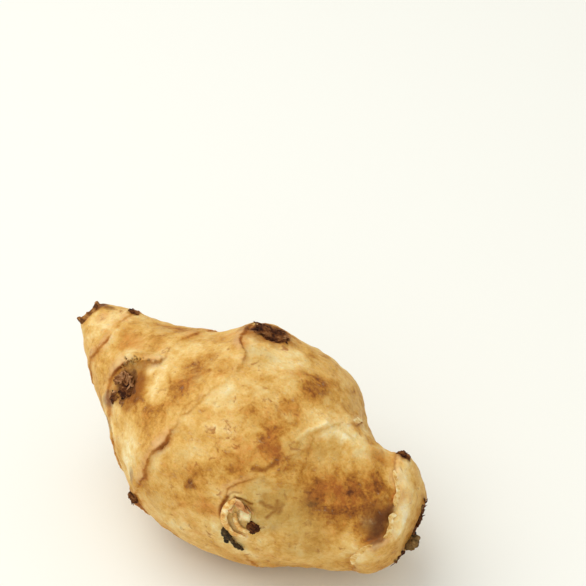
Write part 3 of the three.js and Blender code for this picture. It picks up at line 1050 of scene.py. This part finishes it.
# What sits on each bud, in the bud's own x and y. A scab has its length, width and height next,
# scales and husks have spread, how many, heading, size and lift. Crumbs have spread, how many, size.
budParts = {
    "top_eye": {
        "scabs": [(0.2, 0, 3.8, 2.1, 0.5)],
        "scales": [
            (0, 0.2, 2.6, 26, None, 0.85, 2), (-3.2, 0.6, 1.0, 7, 165, 0.8, 0),
            (3.2, 0.4, 0.9, 7, 10, 0.8, 0),
        ],
        "crumbs": [(0, 0, 4.0, 30, 0.3)],
    },
    "left_eye": {
        "scabs": [(-0.4, -1.0, 2.0, 2.0, 0.35), (-3.6, -3.6, 1.2, 1.4, 0.3)],
        "husks": [
            (-1.8, 1.7, 1.1, 22, -80, 0.8, 4), (-3.2, 0.4, 0.9, 9, 200, 0.7, 0),
            (0.4, 1.4, 1.1, 12, -80, 0.75, 6), (0.2, -3.2, 1.0, 6, 260, 0.6, 0),
            (-2.2, -2.8, 1.0, 6, 230, 0.6, 0),
        ],
        "scales": [(-0.4, -1.0, 1.4, 8, None, 0.7, 6)],
        "crumbs": [(-1.4, 1.2, 1.7, 26, 0.3), (-1.0, -0.8, 1.6, 12, 0.25), (-3.4, -3.0, 1.1, 7, 0.25)],
    },
    "tip_bud": {
        "scabs": [(0, 0, 1.4, 1.1, 0.6)],
        "scales": [(0, 0, 0.9, 8, None, 0.5, 4)],
        "crumbs": [(0, 0, 1.2, 6, 0.2)],
    },
    "low_scar": {
        "scabs": [(0, 0, 1.0, 1.3, 0.7)],
        "scales": [(0, 0, 0.9, 9, -60, 0.7, 8)],
        "crumbs": [(0, 0, 1.4, 8, 0.2)],
    },
    "collar_bud": {
        "scabs": [(0, 0, 1.4, 1.1, 0.6)],
        "scales": [(0, 0, 0.9, 9, None, 0.5, 3)],
        "crumbs": [(0, 0, 1.3, 6, 0.2)],
    },
    "back_eye": {
        "scabs": [(0, 0, 2.4, 2.0, 0.5)],
        "husks": [(0, 0, 2.0, 22, None, 0.9, 4)],
        "crumbs": [(0, 0, 3.0, 18, 0.3)],
    },
    "far_eye": {
        "scabs": [(0, 0, 2.2, 2.0, 0.5)],
        "scales": [(0, 0, 1.9, 22, None, 0.85, 4)],
        "crumbs": [(0, 0, 2.8, 16, 0.3)],
    },
    "under_bud": {
        "scabs": [(0, 0, 0.9, 0.9, 0.5)],
        "scales": [(0, 0, 0.6, 7, None, 0.5, 4)],
        "crumbs": [(0, 0, 1.2, 5, 0.2)],
    },
    "end_scar": {
        "scabs": [(0, 0, 4.0, 4.2, 0.6), (2.2, 1.6, 1.8, 1.4, 0.9), (-1.4, -2.2, 1.6, 1.6, 0.8)],
        "scales": [(0, 0, 3.8, 36, None, 0.85, 2)],
        "crumbs": [(0, 0, 4.8, 30, 0.35)],
    },
}

scaleMasters = [makeScale(*shape) for shape in budScales["shapes"]]
for number, (name, parts) in enumerate(budParts.items()):  # the scabs and scales, then the husks
    made = [makeScab(*spot, seed=number + i) for i, spot in enumerate(parts["scabs"])]
    made += scatterScales(parts.get("scales", []))
    for spot in parts["crumbs"]:
        made += makeCrumbs(*spot)
    if "husks" in parts:
        addPiece(name + "_husks", scatterScales(parts["husks"]), "husk", eyes[name]["place"])
    addPiece(name, made, "bud", eyes[name]["place"])
print("the dried buds are in place")

# The bud in front has opened: curled cream rims on its left, a torn flap over a pale core,
# a rough dried lump below and one black shrivelled root.
frontBud = {
    "rims": [
        (0.2, -0.6, 4.5, 4.9, [(0.98, 0.5), (0.93, 0.4), (0.9, 0.1), (0.93, -0.25)], 112, 285, 0.45),
        (1.1, -0.8, 2.9, 3.3, [(0.98, 0.3), (0.9, 0.3), (0.88, 0.0), (0.92, -0.2)], 160, 296, 0.35),
    ],
    "leaf": (2.6, 1.5, 25, 50),
    "flaps": [
        (-2.2, 3.6, 0.25, -22, 12, 1.5), (-1.0, 2.6, 0.25, -18, 14, 1.25),
        (0.6, 3.0, 0.25, -30, 8, 1.1), (-3.0, 2.6, 0.25, -70, 20, 0.9),
    ],
    "core": (0.6, 0.2, 2.5, 3.0, 1.6),
    "lump": (2.7, -2.7, 1.4, 1.5, 0.9),
    "crumbs": (2.6, -2.8, 1.7, 10, 0.3),
    "root": [  # each stem's path and its radii
        (
            [(-3.5, -4.0, 0.1), (-3.2, -4.9, 0.7), (-2.8, -6.0, 0.8), (-2.3, -7.0, 0.6)],
            [0.6, 1.1, 1.25, 0.7], 10,
        ),
        (
            [(-2.4, -6.4, 0.6), (-1.3, -7.9, 0.6), (-0.2, -9.2, 0.6), (0.9, -10.4, 0.5)],
            [0.6, 0.5, 0.5, 0.45],
        ),
        ([(-3.1, -6.2, 0.5), (-3.1, -7.6, 0.5), (-2.8, -8.9, 0.4)], [0.8, 0.65, 0.45]),
    ],
}


def makeCore(x, y, long, wide, high):  # a blunt shoot of bare flesh
    bpy.ops.mesh.primitive_cube_add(size=mm)
    core = bpy.context.object
    choose(core)
    resizeBy(long, wide, high)
    bpy.ops.mesh.subdivide(number_cuts=2)
    stopEditing()
    choose(core, lambda place: place.z > 0.45 * high)
    resizeBy(0.72, 0.78, 1)
    stopEditing()
    finishWith(core, "BEVEL", width=0.2 * mm, segments=2)
    finishWith(core, "SUBSURF", levels=2, render_levels=2)
    roughen(core, "CLOUDS", 0.9, 0.35)
    core.data.transform(Matrix.Translation((x * mm, y * mm, 0.25 * high * mm)))
    bpy.ops.object.shade_smooth()
    return core


leafFlap = makeScale(*frontBud["leaf"])
here = eyes["front_eye"]["place"]
addPiece("front_eye_rims", [makeLip(*rim) for rim in frontBud["rims"]], "paper", here)
flaps = joinAs("front_eye_flaps", [copyScale(leafFlap, *flap) for flap in frontBud["flaps"]])
finishWith(flaps, "SUBSURF", levels=1, render_levels=1)
addPiece("front_eye_flaps", [flaps], "leaf", here)
addPiece("front_eye_core", [makeCore(*frontBud["core"])], "flesh", here)
lump = [makeScab(*frontBud["lump"], seed=3)] + makeCrumbs(*frontBud["crumbs"])
addPiece("front_eye_lump", lump, "bud", here)
addPiece("shrivelled_root", [makeStem(*stem) for stem in frontBud["root"]], "root", here)
print("the open bud is in place")

# The stolon snapped off at the tip and left a torn tube with two horns and a dark hollow.
tornTip = {
    "sunk": 2.2,
    "steps": [(0.99, 0.7), (1.0, 0.7), (1.0, 0.7), (1.01, 0.6), (1.02, 0.6)],
    "heights": [  # degrees round from the notch, and the height there as a share of the full height
        (-180, 0.84), (-135, 0.86), (-112, 1.0), (-85, 1.02), (-62, 0.84), (-40, 0.66), (-15, 0.55),
        (0, 0.58), (25, 0.56), (48, 0.74), (70, 0.98), (95, 1.06), (118, 0.98), (145, 0.84),
        (180, 0.84),
    ],
    "thick": 0.85,
    "pith": (0, 0, 1.6, 1.6, 0.5),
    "shreds": (0, 0, 1.4, 12, None, 0.5, 30),
}


def makeTornTip():
    bpy.ops.mesh.primitive_circle_add(vertices=40, radius=tip["radius"] * mm)
    rim = bpy.context.object
    choose(rim)
    bpy.ops.transform.translate(value=(0, 0, -tornTip["sunk"] * mm))
    raiseBy(tornTip["steps"])
    bpy.ops.mesh.select_all(action="SELECT")
    bpy.ops.mesh.subdivide(number_cuts=1)
    stopEditing()
    bearings, shares = zip(*tornTip["heights"])
    for vertex in rim.data.vertices:
        place = vertex.co / mm
        bearing = math.degrees(math.atan2(place.y, place.x))
        spot = Vector((math.cos(math.radians(bearing)), math.sin(math.radians(bearing)), 0))
        ragged = 0.12 * noise.noise(spot * 4) + 0.08 * noise.noise(spot * 9)
        share = float(np.interp(bearing, bearings, shares)) + ragged
        up = (place.z + tornTip["sunk"]) * share
        out = 1 + 0.1 * noise.noise(Vector((spot.x * 3, spot.y * 3, up * 0.6)))
        vertex.co = Vector((place.x * out, place.y * out, up - tornTip["sunk"])) * mm
    finishWith(rim, "SOLIDIFY", thickness=tornTip["thick"] * mm, offset=-1)
    finishWith(rim, "SUBSURF", levels=1, render_levels=1)
    roughen(rim, "CLOUDS", 0.8, 0.3)
    bpy.ops.object.shade_smooth()
    return rim


setUpright(addPiece("torn_tip", [makeTornTip()], "stolon"), tipEnd, tipAxis, tipNotch)
pith = [makeScab(*tornTip["pith"], seed=2)] + scatterScales([tornTip["shreds"]])
setUpright(addPiece("tip_pith", pith, "bud"), tipEnd - tipAxis * tornTip["sunk"], tipAxis, tipNotch)

# A stub of root at the bottom of the collar, and dark torn bits round its far side.
endBits = {
    "along": 0.92,  # share of the length that they face out from
    "stubFaces": (0.82, -0.01, -0.57),
    "stub": ([(0, 0, -1.2), (0, 0, 0.5), (0.2, 0.1, 1.6), (0.3, 0.0, 2.4)], [1.9, 2.0, 1.9, 1.4], 9),
    "stubShreds": (0.2, 0, 1.2, 8, None, 0.7, 50),
    "stubLumps": [("VORONOI", 1.7, 1.3), ("CLOUDS", 0.8, 0.5)],
    "scraps": [((0.78, 0.61, 0.14), 9), ((0.91, 0.31, -0.28), 9), ((0.6, -0.31, -0.74), 5)],
}
stub = [makeStem(*endBits["stub"])] + scatterScales([endBits["stubShreds"]])
stub = addPiece("root_stub", stub, "bark")
for kind, size, strength in endBits["stubLumps"]:
    roughen(stub, kind, size, strength)
setUpright(stub, *surface.frameToward(endBits["along"], endBits["stubFaces"])[:3])
for number, (toward, count) in enumerate(endBits["scraps"]):
    scraps = scatterScales([(0, 0, 1.5, count, None, 0.7, 5)]) + makeCrumbs(0, 0, 1.8, 9, 0.35)
    addPiece(f"collar_scraps_{number + 1}", scraps, "bud", surface.frameToward(endBits["along"], toward))

for master in (*scaleMasters, leafFlap):
    bpy.data.objects.remove(master)
print("the torn ends are in place")

# Torn strips of the dry scale leaves, thin as paper, that still stand on the rings.
peel = {
    "back": 1.3,  # mm that a strip is rooted before its ring
    "step": 0.45,  # mm between its points along the ring
    "rows": 7,
    "thick": 0.13,
    "clear": 0.10,  # mm that it stays off the skin
    "sunk": 0.25,  # mm that its root is under the skin
    "level": 0.7,  # mm before the ring where its level is taken
    "torn": [(0.7, 0.45), (2.1, 0.15), (6, 0.06)],  # how often its edge is torn, and how far
}


def makePeel(line, first, last, reach, lift, seed):
    total = len(line["clocks"])
    begin = int(round((first + 180) / 360 * total))
    count = int(round((last - first) / 360 * total))
    middles = line["points"][[(begin + i) % total for i in range(count + 1)]]
    length = np.linalg.norm(np.diff(middles, axis=0), axis=1).sum()
    columns = max(6, int(length / peel["step"]))
    bpy.ops.mesh.primitive_grid_add(x_subdivisions=columns, y_subdivisions=peel["rows"], size=2)
    strip = bpy.context.object
    side = 1 if reach > 0 else -1
    frameKeys = ("points", "normals", "forwards")
    places = []
    for x, y, z in (pointsOf(strip) * mm).tolist():
        u, v = (x + 1) / 2, (y + 1) / 2
        index = (begin + u * count) % total
        low = int(index) % total
        near, share = (low + 1) % total, index % 1
        mixed = [line[key][low] * (1 - share) + line[key][near] * share for key in frameKeys]
        point, normal, forward = (Vector(value) for value in mixed)
        forward = forward * side
        ends = min(1.0, 4.5 * min(u, 1 - u)) ** 0.6
        spot = Vector((u * length / 2.2, seed * 3.7, 0))
        torn = 0.8
        for often, far in peel["torn"]:
            torn += far * noise.noise(spot * often)
        edge = abs(reach) * ends * max(0.12, torn)
        across = -peel["back"] + v * (peel["back"] + edge)
        foot = skinTree.ray_cast(point - forward * peel["level"] + normal * 5, -normal)[0] or point
        level = foot + forward * (across + peel["level"])
        over = point + forward * across
        skinHere = skinTree.ray_cast(over + normal * 5, -normal)[0] or over
        height = (level - skinHere).dot(normal) if across > -peel["level"] else 0.0
        free = max(0.0, across) / max(0.3, abs(reach))
        wave = 0.6 + 0.6 * noise.noise(Vector((u * length / 3.5, v, seed)))
        height = max(height, 0.0) + peel["clear"] + lift * ends * free**1.5 * wave
        if v < 0.2:
            height = -peel["sunk"] + (height + peel["sunk"]) * v / 0.2
        places.append(skinHere + normal * max(height, -peel["sunk"]))
    movePoints(strip, places)
    if side < 0:
        strip.data.flip_normals()
    finishWith(strip, "SMOOTH", factor=0.5, iterations=6)
    finishWith(strip, "SOLIDIFY", thickness=peel["thick"] * mm, offset=1)
    finishWith(strip, "SUBSURF", levels=1, render_levels=1)
    bpy.ops.object.shade_smooth()
    return strip


for number, (ring, line) in enumerate(zip(rings, ringLines)):
    strips = [makePeel(line, *spec, seed=10 * number + i) for i, spec in enumerate(ring["peels"])]
    addPiece(f"leaf_scar_{number + 1}", strips, "paper")
print("the torn leaf strips are in place")

# What the dry parts are made of: its name, four shades from its cracks to its edges, the size of
# its pattern in mm, how far that is drawn out along x, its roughness, its relief in mm and how much
# light goes through it.
dryLooks = {
    # dead bud scales: dull, fibrous, near black in the cracks and ashy on their edges
    "bud": ("dried bud scale", ("#1c0b03", "#44200a", "#74441a", "#a67a50"), 0.7, 0.5, 0.85, 0.25, 0.0),
    # paler scale leaves over a bud: flaky and pinkish brown
    "husk": ("flaky bud husk", ("#431f08", "#7c4c22", "#a4744a", "#c69c70"), 0.8, 0.5, 0.75, 0.2, 0.0),
    # leaf bases that kept some flesh: tan with pink and brown
    "leaf": ("leathery leaf base", ("#6b3f1c", "#b87c44", "#deae72", "#f0d6a4"), 1.1, 0.35, 0.6, 0.2, 0.1),
    # scale leaves dried to parchment: pale, thin, with fine veins along the tuber
    "paper": ("papery scale leaf", ("#b5762e", "#deac60", "#eecf92", "#f8e8be"), 0.9, 0.3, 0.55, 0.15, 0.2),
    # bare shoot: moist cream flesh
    "flesh": ("bare bud flesh", ("#b5824c", "#d9bd84", "#e8d6a2", "#f2e8c6"), 1.2, 1, 0.4, 0.15, 0.3),
    # the torn end of the stolon: tan fibres and scorched brown
    "stolon": ("torn stolon rind", ("#3a1e0a", "#744416", "#a8743a", "#d0a468"), 1.0, 0.5, 0.7, 0.25, 0.0),
    # the broken root: brown and woody with a dark olive skin
    "bark": ("broken root bark", ("#241a0c", "#54401e", "#7c5c30", "#a68654"), 1.3, 1, 0.75, 0.3, 0.0),
    # a dead root: black with an olive cast, shrivelled
    "root": ("shrivelled root bark", ("#120c06", "#2a1e0e", "#4e3a1c", "#806a44"), 0.8, 1, 0.7, 0.3, 0.0),
}
shadePlaces = (0.38, 0.47, 0.55, 0.66)


def makeDryMaterial(title, shades, size, stretch, rough, relief, through):
    material, tree = newMaterial(title)
    where = addNode(tree, "TexCoord", out="Object")
    placed = addNode(tree, "Mapping", {"Vector": where, "Scale": (stretch, 1, 1)})
    fibres = {"Vector": placed, "Scale": 1 / (size * mm)}
    fibres.update({"Detail": 7.0, "Roughness": 0.68, "Distortion": 0.5})
    fibres = addNode(tree, "TexNoise", fibres)
    patch = {"Vector": where, "Scale": 1 / (3.2 * size * mm), "Detail": 4.0, "Roughness": 0.6}
    patch = addNode(tree, "TexNoise", patch)
    shade = addNode(tree, "Mix", {0: 0.5, 2: fibres, 3: patch}, data_type="FLOAT")
    colour = addNode(tree, "ValToRGB", {0: shade})
    setStops(colour.node, list(zip(shadePlaces, shades)))
    bump = addNode(tree, "Bump", {"Strength": 0.7, "Distance": relief * mm, "Height": fibres})
    looks = {
        "Base Color": colour, "Roughness": rough, "IOR": 1.4, "Specular IOR Level": 0.25, "Normal": bump,
        "Subsurface Weight": through, "Subsurface Radius": (1.0, 0.5, 0.2), "Subsurface Scale": 1.5 * mm,
    }
    addNode(tree, "OutputMaterial", {"Surface": addNode(tree, "BsdfPrincipled", looks)})
    return material


dryMaterials = {kind: makeDryMaterial(*looks) for kind, looks in dryLooks.items()}
for name, kind in dryPieces.items():
    piece = bpy.data.objects[name]
    piece.data.materials.clear()
    piece.data.materials.append(dryMaterials[kind])
    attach(piece, "root")
print("the dry parts have their colours:", len(dryPieces), "pieces")
